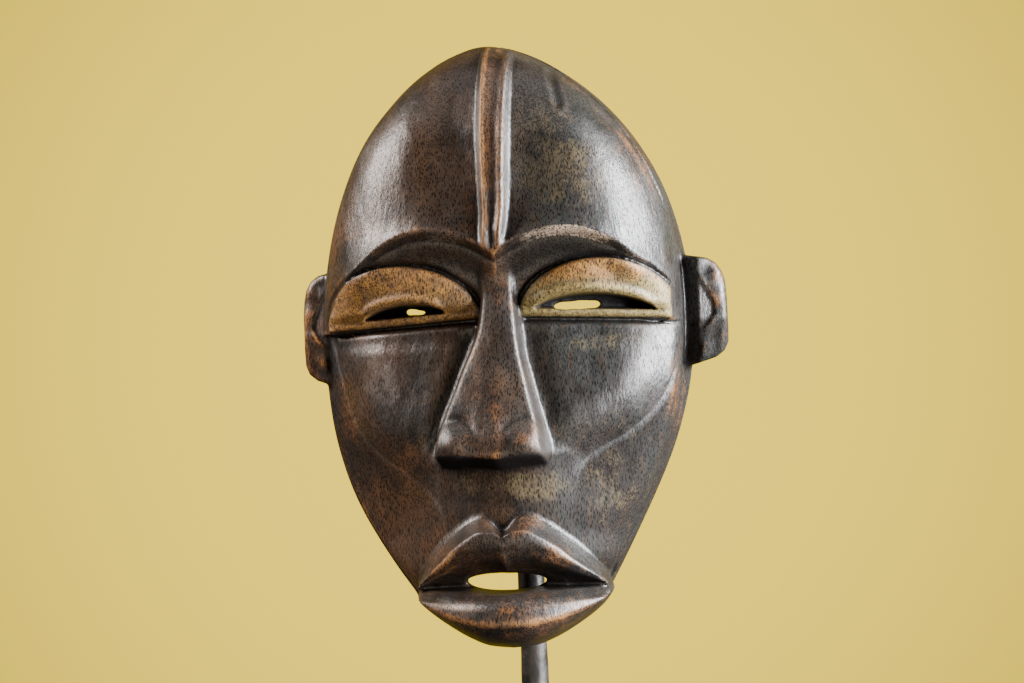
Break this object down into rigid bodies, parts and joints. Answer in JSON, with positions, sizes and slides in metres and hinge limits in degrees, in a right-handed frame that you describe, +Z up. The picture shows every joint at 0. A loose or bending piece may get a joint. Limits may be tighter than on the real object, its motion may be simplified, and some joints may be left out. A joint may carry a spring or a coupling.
{
  "type": "carved wooden mask on display stand",
  "caption": "Hollow carved wooden face mask with slit eyes, wedge nose and open full lips, hung on a height-adjustable swivelling post stand with a weighted base.",
  "frame": {"origin": "centre of the base's underside", "axes": "+Z up along the post, -Y the way the mask looks, +X to the right of someone facing the mask"},
  "size_m": [0.1828, 0.11, 0.3546],
  "materials": {
    "carved_wood": "near-black patinated hardwood, satin, worn red-brown on its edges, ochre on the eyelids",
    "base_wood": "black-stained hardwood, satin",
    "felt": "charcoal wool felt",
    "bright_steel": "turned steel, slightly dulled",
    "black_iron": "blackened iron with a trace of rust",
    "black_rubber": "matt rubber"
  },
  "bodies": {
    "stand": {"base_block": "base_wood", "felt_pad": "felt", "ballast_plate": "bright_steel", "ballast_screws": "bright_steel", "post_flange": "black_iron", "flange_screws": "bright_steel", "post": "black_iron", "post_washer": "bright_steel", "post_nut": "bright_steel", "chin_bumper": "black_rubber"},
    "collar": {"stop_collar": "black_iron"},
    "thumb_screw": {"thumb_screw": "bright_steel"},
    "bracket": {"bracket_hub": "black_iron", "arm_left": "black_iron", "arm_right": "black_iron", "arm_screws": "bright_steel", "tip_left": "black_rubber", "tip_right": "black_rubber"},
    "mask": {"mask": "carved_wood"}
  },
  "joints": [
    {"name": "height_slide", "type": "slide", "parent": "stand", "child": "collar", "axis": [0, 0, 1], "range_m": [-0.045, 0.01]},
    {"name": "screw_turn", "type": "hinge", "parent": "collar", "child": "thumb_screw", "pos_m": [0, 0.027, 0.274], "axis": [0, 1, 0], "range_deg": [-360, 0]},
    {"name": "bracket_swivel", "type": "hinge", "parent": "collar", "child": "bracket", "pos_m": [0, 0.027, 0.28], "axis": [0, 0, 1], "range_deg": [-80, 80]},
    {"name": "mask_lift", "type": "slide", "parent": "bracket", "child": "mask", "axis": [0, -0.5, 0.866], "range_m": [0, 0.2]}
  ]
}
